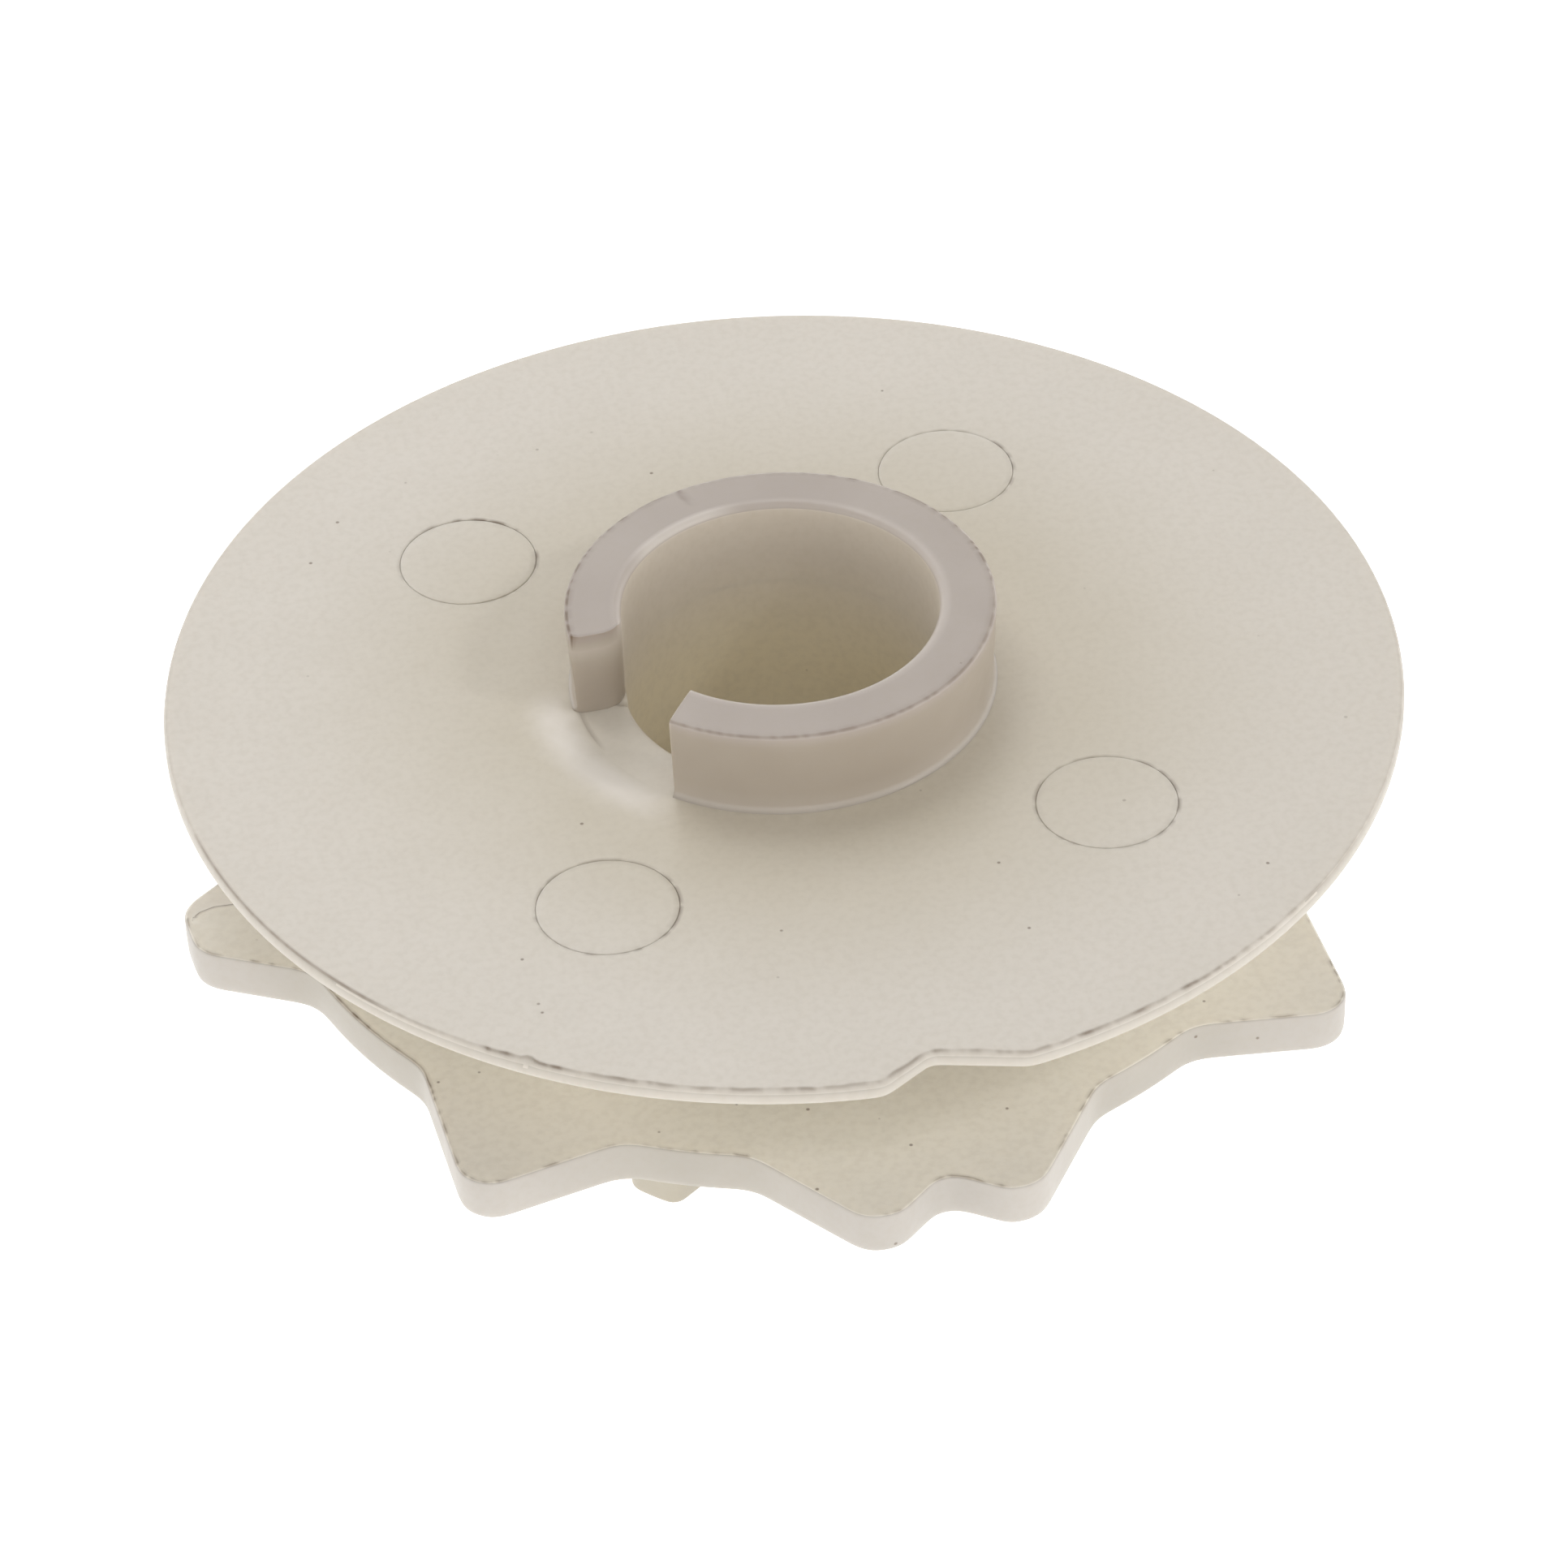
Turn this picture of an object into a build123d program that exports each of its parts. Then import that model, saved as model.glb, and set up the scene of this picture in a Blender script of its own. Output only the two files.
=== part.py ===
from build123d import *
import os
from math import cos, radians, sin, tan

# A moulded index gear: a thin flange with a split collar stands over an eight-tooth star wheel,
# and a coarse spur pinion runs below the star. All the pieces share one bore, along Z.
# Millimetres and degrees. The origin is on the bore's axis, in the plane of the pinion's lower face.
# +Z points up through the collar. The star's notched index tooth points to -Y.

# ---- Driving dimensions ----
bore_radius = 5.1
fit_gap = 0.02  # radial room in every hole that holds another piece

pinion_face_width = 9.0
pinion_teeth = 8
pinion_first_tooth = -92.6
pinion_tip_radius = 8.9
pinion_root_radius = 6.6
pinion_tip_half_width = 0.96
pinion_flank_angle = 9.0
pinion_tip_rounding = 0.5
pinion_root_rounding = 0.5
spigot_radius = 7.7

star_thickness = 1.6
valley_radius = 17.15
valley_rounding = 1.6
tip_rounding = 1.15
wide_tooth_angles = (-178.6, 0.0, 90.0)
wide_reach = 20.15
wide_left_half_width = 1.25
wide_right_half_width = 1.05
wide_flank_angle = 32.5
corner_reach = 14.45  # from the bore's axis to the outer flank of each of the four corner teeth
corner_drop = 0.88  # how far below a square corner the corner tooth's apex lies
corner_flank_slope = 9.5  # the inner flank, against the outer flank's square partner
index_reach = 20.02
index_left_half_width = 2.98
index_right_half_width = 2.64
index_left_flank_angle = 34.8
index_right_flank_angle = 37.8
index_notch_offset = -0.12
index_notch_depth = 1.34
index_notch_half_width = 1.72
index_rounding = 0.85

gap_height = 4.7
spacer_radius = 9.5

flange_radius = 20.0
flange_thickness = 0.5
flange_edge = 0.08
notch_places = ((20.6, -99.0), (18.82, -91.6), (20.6, -79.5))  # radius and angle of its three corners

sleeve_radius = 6.7
seat_radius = 6.0  # the sleeve's stepped-down lower end, pressed into the pinion
seat_depth = 3.0
collar_radius = 6.93  # at the top; the outside narrows a little towards the flange
collar_base_radius = 6.78
collar_height = 3.1
collar_mouth_chamfer = 0.25
collar_edge = 0.1
collar_foot = 0.35
slot_corners = ((3.6, -192.0), (8.6, -192.0), (8.6, -134.1), (3.6, -142.4))  # radius and angle
land_end_corners = ((3.6, -192.0), (8.6, -192.0), (8.6, -181.6), (3.6, -181.6))  # one end of the collar
land_end_rounding = 0.5

pin_radius = 2.25
pin_places = ((12.46, -131.2), (12.2, -48.4), (12.12, 48.0), (12.24, 132.9))  # radius and angle

# ---- Heights that follow ----
star_bottom = pinion_face_width
star_top = star_bottom + star_thickness
flange_bottom = star_top + gap_height
flange_top = flange_bottom + flange_thickness
collar_top = flange_top + collar_height
seat_bottom = star_top - seat_depth


def polar(radius, angle):
    """The point at this radius and angle about the bore."""
    return (radius * cos(radians(angle)), radius * sin(radians(angle)))


def from_axis(vertex):
    """How far a vertex lies from the bore's axis."""
    return Vector(vertex.X, vertex.Y).length


def tooth(reach, left, right, left_flank, right_flank, base):
    """Corners of a tooth along +X: a flat tip from +left to -right, and flanks that open towards base."""
    rise = reach - base
    return [
        (base, left + rise * tan(radians(left_flank))),
        (reach, left),
        (reach, -right),
        (base, -right - rise * tan(radians(right_flank))),
    ]


pin_centres = [polar(radius, angle) for radius, angle in pin_places]

os.makedirs("parts", exist_ok=True)

# ---- Spur pinion: coarse straight teeth on a tube, with a spigot on top that carries the star ----
tooth_overshoot = 0.3  # the teeth are drawn this much too long, and a circle trims their tips
with BuildPart() as spur_pinion:
    with BuildSketch(Plane.XY) as pinion_section:
        Circle(pinion_root_radius)
        long_tip = pinion_tip_half_width - tooth_overshoot * tan(radians(pinion_flank_angle))
        with PolarLocations(0, pinion_teeth, start_angle=pinion_first_tooth):
            Polygon(
                *tooth(pinion_tip_radius + tooth_overshoot, long_tip, long_tip,
                       pinion_flank_angle, pinion_flank_angle, base=bore_radius),
                align=None,
            )
        Circle(pinion_tip_radius, mode=Mode.INTERSECT)
        corners = pinion_section.vertices()
        fillet(corners.filter_by(lambda v: from_axis(v) > pinion_tip_radius - 0.1), pinion_tip_rounding)
        corners = pinion_section.vertices()
        fillet(corners.filter_by(lambda v: from_axis(v) < pinion_root_radius + 0.01), pinion_root_rounding)
    extrude(amount=pinion_face_width)
    with BuildSketch(Plane.XY.offset(star_bottom)):
        Circle(spigot_radius)
    extrude(amount=star_thickness)
    with BuildSketch(Plane.XY):
        Circle(bore_radius)
    extrude(amount=star_top, mode=Mode.SUBTRACT)
    with BuildSketch(Plane.XY.offset(seat_bottom)):
        Circle(seat_radius + fit_gap)
    extrude(amount=seat_depth, mode=Mode.SUBTRACT)
spur_pinion.part.label = "spur_pinion"
export_step(spur_pinion.part, "parts/spur_pinion.step")

# ---- Star wheel: a disc with eight straight-flanked teeth; the one at -Y is wide and notched ----
tooth_base = valley_radius - 3.0  # the teeth are drawn from well inside the valley circle
corner_rise = corner_reach - tooth_base / 2
corner_tooth = [
    (corner_reach, tooth_base / 2),
    (corner_reach, corner_reach + corner_drop),
    (tooth_base / 2, corner_reach + corner_drop - corner_rise * tan(radians(corner_flank_slope))),
]
with BuildPart() as star_wheel:
    with BuildSketch(Plane.XY.offset(star_bottom)) as star_section:
        Circle(valley_radius)
        for angle in wide_tooth_angles:
            Polygon(
                *tooth(wide_reach, wide_left_half_width, wide_right_half_width,
                       wide_flank_angle, wide_flank_angle, base=tooth_base),
                rotation=angle,
                align=None,
            )
        for side in (-1, 1):
            for end in (-1, 1):
                Polygon(*[(side * x, end * y) for x, y in corner_tooth], align=None)
        Polygon(
            *tooth(index_reach, index_right_half_width, index_left_half_width,
                   index_right_flank_angle, index_left_flank_angle, base=tooth_base),
            rotation=-90,
            align=None,
        )
        tips = star_section.vertices().filter_by(lambda v: from_axis(v) > valley_radius + 1)
        fillet(tips, tip_rounding)
        Polygon(
            (index_notch_offset, index_notch_depth - index_reach),
            (index_notch_offset - 2 * index_notch_half_width, -index_notch_depth - index_reach),
            (index_notch_offset + 2 * index_notch_half_width, -index_notch_depth - index_reach),
            align=None,
            mode=Mode.SUBTRACT,
        )
        notch_corners = star_section.vertices().filter_by(
            lambda v: abs(v.X - index_notch_offset) < index_notch_half_width + 0.05 and v.Y < -valley_radius
        )
        fillet(notch_corners, index_rounding)
        valleys = star_section.vertices().filter_by(lambda v: abs(from_axis(v) - valley_radius) < 0.01)
        fillet(valleys, valley_rounding)
        Circle(spigot_radius + fit_gap, mode=Mode.SUBTRACT)
        with Locations(*pin_centres):
            Circle(pin_radius + fit_gap, mode=Mode.SUBTRACT)
    extrude(amount=star_thickness)
star_wheel.part.label = "star_wheel"
export_step(star_wheel.part, "parts/star_wheel.step")

# ---- Spacer hub: the ring that holds the flange off the star ----
with BuildPart() as spacer_hub:
    with BuildSketch(Plane.XY.offset(star_top)):
        Circle(spacer_radius)
        Circle(sleeve_radius + fit_gap, mode=Mode.SUBTRACT)
    extrude(amount=gap_height)
spacer_hub.part.label = "spacer_hub"
export_step(spacer_hub.part, "parts/spacer_hub.step")

# ---- Flange disc: thin, with a notch in its rim above the star's index tooth ----
with BuildPart() as flange_disc:
    with BuildSketch(Plane.XY.offset(flange_bottom)):
        Circle(flange_radius)
    extrude(amount=flange_thickness)
    chamfer(flange_disc.edges(), flange_edge)
    with BuildSketch(Plane.XY.offset(flange_bottom)):
        Polygon(*[polar(radius, angle) for radius, angle in notch_places], align=None)
        Circle(sleeve_radius + fit_gap)
        with Locations(*pin_centres):
            Circle(pin_radius + fit_gap)
    extrude(amount=flange_thickness, mode=Mode.SUBTRACT)
flange_disc.part.label = "flange_disc"
export_step(flange_disc.part, "parts/flange_disc.step")

# ---- Split collar: a stepped sleeve seated in the pinion, and a slotted collar on the flange ----
# The slot leaves one plane end and one end with rounded corners, so the rounded end is drawn first.
with BuildSketch() as land_end:
    Circle(collar_radius)
    Circle(bore_radius, mode=Mode.SUBTRACT)
    Polygon(*[polar(radius, angle) for radius, angle in land_end_corners], align=None, mode=Mode.INTERSECT)
    fillet(land_end.vertices().sort_by(Axis.Y)[:2], land_end_rounding)
with BuildPart() as split_collar:
    with BuildSketch(Plane.XY.offset(seat_bottom)):
        Circle(seat_radius)
    extrude(amount=seat_depth)
    with BuildSketch(Plane.XY.offset(star_top)):
        Circle(sleeve_radius)
    extrude(amount=flange_top - star_top)
    with BuildSketch(Plane.XZ):
        with BuildLine():
            Polyline(
                (0, flange_top),
                (0, collar_top),
                (collar_radius - collar_edge, collar_top),
                (collar_radius, collar_top - collar_edge),
                (collar_base_radius, flange_top + collar_foot),
            )
            RadiusArc(
                (collar_base_radius, flange_top + collar_foot),
                (collar_base_radius + collar_foot, flange_top),
                collar_foot,
            )
            Line((collar_base_radius + collar_foot, flange_top), (0, flange_top))
        make_face()
    revolve(axis=Axis.Z)
    with BuildSketch(Plane.XY.offset(seat_bottom)):
        Circle(bore_radius)
    extrude(amount=collar_top - seat_bottom, mode=Mode.SUBTRACT)
    mouth = split_collar.edges().filter_by(GeomType.CIRCLE).group_by(Axis.Z)[-1].sort_by(SortBy.RADIUS)[0]
    chamfer(mouth, collar_mouth_chamfer)
    with BuildSketch(Plane.XY.offset(flange_top)):
        Polygon(*[polar(radius, angle) for radius, angle in slot_corners], align=None)
        add(land_end.sketch, mode=Mode.SUBTRACT)
    extrude(amount=collar_height, mode=Mode.SUBTRACT)
split_collar.part.label = "split_collar"
export_step(split_collar.part, "parts/split_collar.step")

# ---- Joining pins: four plain pins, flush with the flange above and with the star below ----
for number, centre in enumerate(pin_centres, start=1):
    with BuildPart() as joining_pin:
        with BuildSketch(Plane.XY.offset(star_bottom)):
            with Locations(centre):
                Circle(pin_radius)
        extrude(amount=flange_top - star_bottom)
    joining_pin.part.label = f"joining_pin_{number}"
    export_step(joining_pin.part, f"parts/joining_pin_{number}.step")
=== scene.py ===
import math

import bmesh
import bpy
from mathutils import Matrix, Vector, noise
from mathutils.geometry import delaunay_2d_cdt


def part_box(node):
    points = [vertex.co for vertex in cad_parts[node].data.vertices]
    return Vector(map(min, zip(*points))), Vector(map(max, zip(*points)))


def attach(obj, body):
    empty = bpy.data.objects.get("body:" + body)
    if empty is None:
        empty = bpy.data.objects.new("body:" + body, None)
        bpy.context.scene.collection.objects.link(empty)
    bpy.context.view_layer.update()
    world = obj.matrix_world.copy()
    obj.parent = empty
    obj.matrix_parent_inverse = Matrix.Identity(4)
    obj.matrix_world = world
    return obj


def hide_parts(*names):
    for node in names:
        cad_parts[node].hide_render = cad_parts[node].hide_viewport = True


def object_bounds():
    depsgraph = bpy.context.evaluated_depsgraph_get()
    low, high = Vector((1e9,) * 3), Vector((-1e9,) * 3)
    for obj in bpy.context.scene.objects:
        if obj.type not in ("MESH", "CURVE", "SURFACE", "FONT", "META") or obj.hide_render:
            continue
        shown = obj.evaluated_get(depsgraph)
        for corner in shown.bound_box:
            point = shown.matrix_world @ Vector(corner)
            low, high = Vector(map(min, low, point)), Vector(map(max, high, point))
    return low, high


# A moulded index gear in natural, slightly translucent cream plastic. Every piece is worked out from the
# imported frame: its outlines are read off the flat faces of the CAD nodes, and its heights from their boxes.
# Angles are in degrees about the bore, anticlockwise seen from above, with 0 along +X.

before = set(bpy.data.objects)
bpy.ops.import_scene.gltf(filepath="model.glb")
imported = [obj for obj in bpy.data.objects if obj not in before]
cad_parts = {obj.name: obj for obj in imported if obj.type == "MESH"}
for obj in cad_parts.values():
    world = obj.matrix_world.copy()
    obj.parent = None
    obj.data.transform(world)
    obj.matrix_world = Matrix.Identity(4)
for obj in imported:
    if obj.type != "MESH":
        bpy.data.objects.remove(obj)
cad_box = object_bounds()

MM = 0.001
WELD = 1e-6
BODY = "root"
TRIANGLES_INSIDE = 1  # the kind of triangulation that keeps to the inside of its outline
SAME_PLACE = 1e-5  # points of a triangulation that lie this close count as one, in millimetres
SHARP_TURN = 50  # faces that meet at more than this many degrees keep a sharp edge

bore_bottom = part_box("spur_pinion")[0].z
star_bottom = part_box("star_wheel")[0].z
star_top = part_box("star_wheel")[1].z
flange_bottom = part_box("flange_disc")[0].z
flange_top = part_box("flange_disc")[1].z
collar_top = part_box("split_collar")[1].z
sleeve_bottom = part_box("split_collar")[0].z


# ---- Plane geometry ----
def clamp(value, low=0.0, high=1.0):
    return max(low, min(high, value))


def smooth(value, start, end):
    """0 before start, 1 after end, and an even S-curve between them; start may be the larger one."""
    share = clamp((value - start) / (end - start))
    return share * share * (3 - 2 * share)


def mix(first, second, share):
    return first + (second - first) * share


def angle_of(point):
    return math.degrees(math.atan2(point.y, point.x))


def turn_from(point, direction):
    """The angle between a point's direction and another one, from 0 to 180."""
    return abs((angle_of(point) - direction + 180) % 360 - 180)


def on_circle(radius, angle):
    return Vector((radius * math.cos(math.radians(angle)), radius * math.sin(math.radians(angle))))


def perimeter(loop):
    return sum((a - b).length for a, b in zip(loop, loop[1:] + loop[:1]))


def outlines(node, height):
    """The closed outlines of a CAD node's flat face at this height, the longest first."""
    shape = bmesh.new()
    shape.from_mesh(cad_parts[node].data)
    bmesh.ops.remove_doubles(shape, verts=shape.verts, dist=WELD)
    flat = {f for f in shape.faces if all(abs(v.co.z - height) < WELD for v in f.verts)}
    unused = dict.fromkeys(e for e in shape.edges if sum(f in flat for f in e.link_faces) == 1)
    loops = []
    while unused:
        edge = next(iter(unused))
        del unused[edge]
        start, vertex = edge.verts
        loop = [start]
        while vertex is not start:
            loop.append(vertex)
            edge = next(e for e in vertex.link_edges if e in unused)
            del unused[edge]
            vertex = edge.other_vert(vertex)
        loops.append([v.co.xy.copy() for v in loop])
    shape.free()
    return sorted(loops, key=perimeter, reverse=True)


def evenly(loop, spacing, rounds=3):
    """The closed loop again, anticlockwise, with even spacing and its facets smoothed away."""
    if sum(a.cross(b) for a, b in zip(loop, loop[1:] + loop[:1])) < 0:
        loop = loop[::-1]
    count = round(perimeter(loop) / spacing)
    step = perimeter(loop) / count
    points = []
    walked = 0.0
    for start, end in zip(loop, loop[1:] + loop[:1]):
        length = (end - start).length
        while len(points) * step < walked + length and len(points) < count:
            points.append(start.lerp(end, (len(points) * step - walked) / length))
        walked += length
    for _ in range(rounds):
        around = zip(points[-1:] + points[:-1], points, points[1:] + points[:1])
        points = [(before + 2 * here + after) / 4 for before, here, after in around]
    return points


def circle_through(loop, spacing):
    """The true circle that a faceted hole stands for: its centre and its even points, anticlockwise."""
    centre = sum(loop, Vector((0, 0))) / len(loop)
    radius = sum((p - centre).length for p in loop) / len(loop)
    count = round(2 * math.pi * radius / spacing)
    return centre, [centre + on_circle(radius, 360 * i / count) for i in range(count)]


def wobble(point, size, seed):
    """Even noise from about -1 to 1 that changes over this size."""
    return noise.noise(Vector((point.x / size, point.y / size, seed)))


# ---- Mesh building ----
class Shell:
    """One closed mesh, with a darkening value (soiling, and in places painted shade) and a paleness value (in
    places painted light) at each point for its plastic to read.
    """

    def __init__(self):
        self.mesh = bmesh.new()
        self.grime_and_shade = self.mesh.verts.layers.float.new("grime_and_shade")
        self.pale = self.mesh.verts.layers.float.new("pale")

    def point(self, position, grime_and_shade=0.0, pale=0.0):
        vertex = self.mesh.verts.new(position)
        vertex[self.grime_and_shade] = grime_and_shade
        vertex[self.pale] = pale
        return vertex

    def strip(self, first, second, closed=True):
        """Faces between two rows of as many points."""
        count = len(first)
        for i in range(count if closed else count - 1):
            j = (i + 1) % count
            self.mesh.faces.new((first[i], first[j], second[j], second[i]))

    def sheet(self, rows, closed=False):
        for first, second in zip(rows, rows[1:]):
            self.strip(first, second, closed)

    def cap(self, rings, spacing, make_point, extra=()):
        """A sheet inside the first ring and outside the others, which are circles. It has even points, and
        the extra ones where it needs finer detail."""
        known = [v for ring in rings for v in ring]
        flat = [v.co.xy / MM for v in known]
        edges = []
        holes = []
        start = 0
        for ring in rings:
            edges += [(start + i, start + (i + 1) % len(ring)) for i in range(len(ring))]
            centre = sum((v.co.xy for v in ring), Vector((0, 0))) / len(ring) / MM
            middle = (ring[0].co.xy + ring[1].co.xy) / 2 / MM
            holes.append((centre, (middle - centre).length))
            start += len(ring)
        del holes[0]
        reach = max(p.length for p in flat)
        step = spacing / MM
        rows = int(reach / (step * math.sqrt(3) / 2)) + 1
        for row in range(-rows, rows + 1):
            for column in range(-rows, rows + 1):
                place = Vector((column + 0.5 * (row % 2), row * math.sqrt(3) / 2)) * step
                if place.length < reach and all((place - c).length > r for c, r in holes):
                    flat.append(place)
        flat += [p / MM for p in extra]
        places, _, faces, sources, _, _ = delaunay_2d_cdt(flat, edges, [], TRIANGLES_INSIDE, SAME_PLACE)
        vertices = {}
        for face in faces:
            middle = sum((places[i] for i in face), Vector((0, 0))) / len(face)
            if any((middle - c).length < r for c, r in holes):
                continue
            for i in face:
                if i not in vertices:
                    ring_points = [s for s in sources[i] if s < len(known)]
                    vertices[i] = known[ring_points[0]] if ring_points else make_point(places[i] * MM)
            self.mesh.faces.new([vertices[i] for i in face])

    def finish(self, name, node, slot, material):
        """Makes the object, which rides with the gear and stands for its CAD node."""
        bmesh.ops.remove_doubles(self.mesh, verts=self.mesh.verts, dist=WELD / 10)
        bmesh.ops.recalc_face_normals(self.mesh, faces=self.mesh.faces)
        for face in self.mesh.faces:
            face.smooth = True
        data = bpy.data.meshes.new(name)
        self.mesh.to_mesh(data)
        self.mesh.free()
        piece = bpy.data.objects.new(name, data)
        bpy.context.scene.collection.objects.link(piece)
        data.materials.append(material)
        data.set_sharp_from_angle(angle=math.radians(SHARP_TURN))
        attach(piece, BODY)
        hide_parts(node)
        return piece


def second_material(piece, material, chosen):
    """Gives the chosen faces of a piece another plastic."""
    piece.data.materials.append(material)
    for face in piece.data.polygons:
        if chosen(face):
            face.material_index = 1


def asked(value, point):
    return value(point) if callable(value) else value


def wall_rows(shell, loop, inward, rows, pale=0.0):
    """Rows of points down one edge of a plate. Each row is an inset into the material, a height and a
    darkening, which is soiling and in places painted shade, and each of those is a number or a function of
    the loop's point."""
    before_and_after = zip(loop[-1:] + loop[:-1], loop[1:] + loop[:1])
    normals = [Vector((b.y - a.y, a.x - b.x)).normalized() for a, b in before_and_after]
    made = []
    for inset, height, grime_and_shade in rows:
        row = []
        for point, normal in zip(loop, normals):
            flat = point - normal * asked(inset, point) * inward
            row.append(shell.point((*flat, asked(height, point)), asked(grime_and_shade, point), asked(pale, flat)))
        made.append(row)
    return made


def plate(outer, outer_rows, holes, relief, pale=0.0, spacing=0.6 * MM, grime_and_shade=0.0, extra=()):
    """A flat moulding with shaped edges. holes holds each hole's loop and its rows, and relief, the paleness
    and the darkening (soiling, and in places painted shade) say how the top is at a point."""
    shell = Shell()
    edges = [wall_rows(shell, outer, 1, outer_rows, pale)]
    edges += [wall_rows(shell, loop, -1, rows, pale) for loop, rows in holes]
    for rows in edges:
        shell.sheet(rows, closed=True)
    bottom = edges[0][-1][0].co.z
    shell.cap([rows[0] for rows in edges], spacing,
              lambda p: shell.point((*p, relief(p)), asked(grime_and_shade, p), asked(pale, p)), extra)
    shell.cap([rows[-1] for rows in edges], 4 * spacing, lambda p: shell.point((*p, bottom)))
    return shell


def lathe(path_at, steps):
    """A ring turned about the bore. path_at gives its closed section at an angle, as radius and height."""
    shell = Shell()
    stations = []
    for i in range(steps):
        angle = 360 * i / steps
        stations.append([shell.point((*on_circle(r, angle), z)) for r, z in path_at(angle)])
    for here, after in zip(stations, stations[1:] + stations[:1]):
        shell.strip(here, after, closed=True)
    return shell


def rounded(corners, radius, segments=3):
    """A closed section with each of its corners rounded by this much."""
    path = []
    for before, here, after in zip(corners[-1:] + corners[:-1], corners, corners[1:] + corners[:1]):
        corner, first, last = Vector(here), Vector(before), Vector(after)
        start = corner + (first - corner).normalized() * radius
        end = corner + (last - corner).normalized() * radius
        for i in range(segments + 1):
            share = i / segments
            path.append(start.lerp(corner, share).lerp(corner.lerp(end, share), share))
    return path


# ---- Plastic ----
def srgb(red, green, blue):
    """A colour as the eye reads it, from 0 to 255, turned into linear light."""
    parts = [c / 255 for c in (red, green, blue)]
    return (*[c / 12.92 if c <= 0.04045 else ((c + 0.055) / 1.055) ** 2.4 for c in parts], 1.0)


SOIL_AND_SHADE = srgb(106, 86, 66)
PALE = srgb(226, 219, 210)
DULL = srgb(168, 156, 136)


class Shader:
    """Short ways to add and join the nodes of one material."""

    def __init__(self, name):
        self.material = bpy.data.materials.new(name)
        self.material.use_nodes = True
        self.tree = self.material.node_tree
        self.surface = self.tree.nodes["Principled BSDF"]
        self.place = self.add("ShaderNodeTexCoord").outputs["Object"]

    def add(self, kind, **inputs):
        node = self.tree.nodes.new(kind)
        for socket, value in inputs.items():
            self.set(node, socket, value)
        return node

    def set(self, node, socket, value):
        if isinstance(value, bpy.types.NodeSocket):
            self.tree.links.new(value, node.inputs[socket])
        else:
            node.inputs[socket].default_value = value

    def blend(self, share, first, second):
        node = self.tree.nodes.new("ShaderNodeMix")
        node.data_type = "RGBA"
        for socket, value in (("Factor_Float", share), ("A_Color", first), ("B_Color", second)):
            target = next(s for s in node.inputs if s.identifier == socket)
            if isinstance(value, bpy.types.NodeSocket):
                self.tree.links.new(value, target)
            else:
                target.default_value = value
        return next(s for s in node.outputs if s.identifier == "Result_Color")

    def ramp(self, value, low, high, low_to=0.0, high_to=1.0):
        node = self.add("ShaderNodeMapRange", Value=value)
        node.interpolation_type = "SMOOTHSTEP"
        ends = {"From Min": low, "From Max": high, "To Min": low_to, "To Max": high_to}
        for socket, number in ends.items():
            node.inputs[socket].default_value = number
        return node.outputs["Result"]

    def noise(self, scale, detail=2.0):
        return self.add("ShaderNodeTexNoise", Vector=self.place, Scale=scale, Detail=detail).outputs["Fac"]

    def attribute(self, name):
        node = self.add("ShaderNodeAttribute")
        node.attribute_name = name
        return node.outputs["Fac"]

    def times(self, first, second):
        node = self.add("ShaderNodeMath")
        node.operation = "MULTIPLY"
        self.set(node, 0, first)
        self.set(node, 1, second)
        return node.outputs["Value"]

    def distance_from_axis(self):
        flat = self.add("ShaderNodeVectorMath")
        flat.operation = "MULTIPLY"
        self.set(flat, 0, self.place)
        self.set(flat, 1, (1, 1, 0))
        length = self.add("ShaderNodeVectorMath")
        length.operation = "LENGTH"
        self.set(length, 0, flat.outputs["Vector"])
        return length.outputs["Value"]

    def height(self):
        return self.add("ShaderNodeSeparateXYZ", Vector=self.place).outputs["Z"]


# How fine each pattern in the plastic is, in repeats to the metre.
CLOUDS = 150
FLECKS = 3800
SPECK_CELLS = 1500
GLOSS_PATCHES = 900
GRAIN = 5200
RIPPLES = 420


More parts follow.
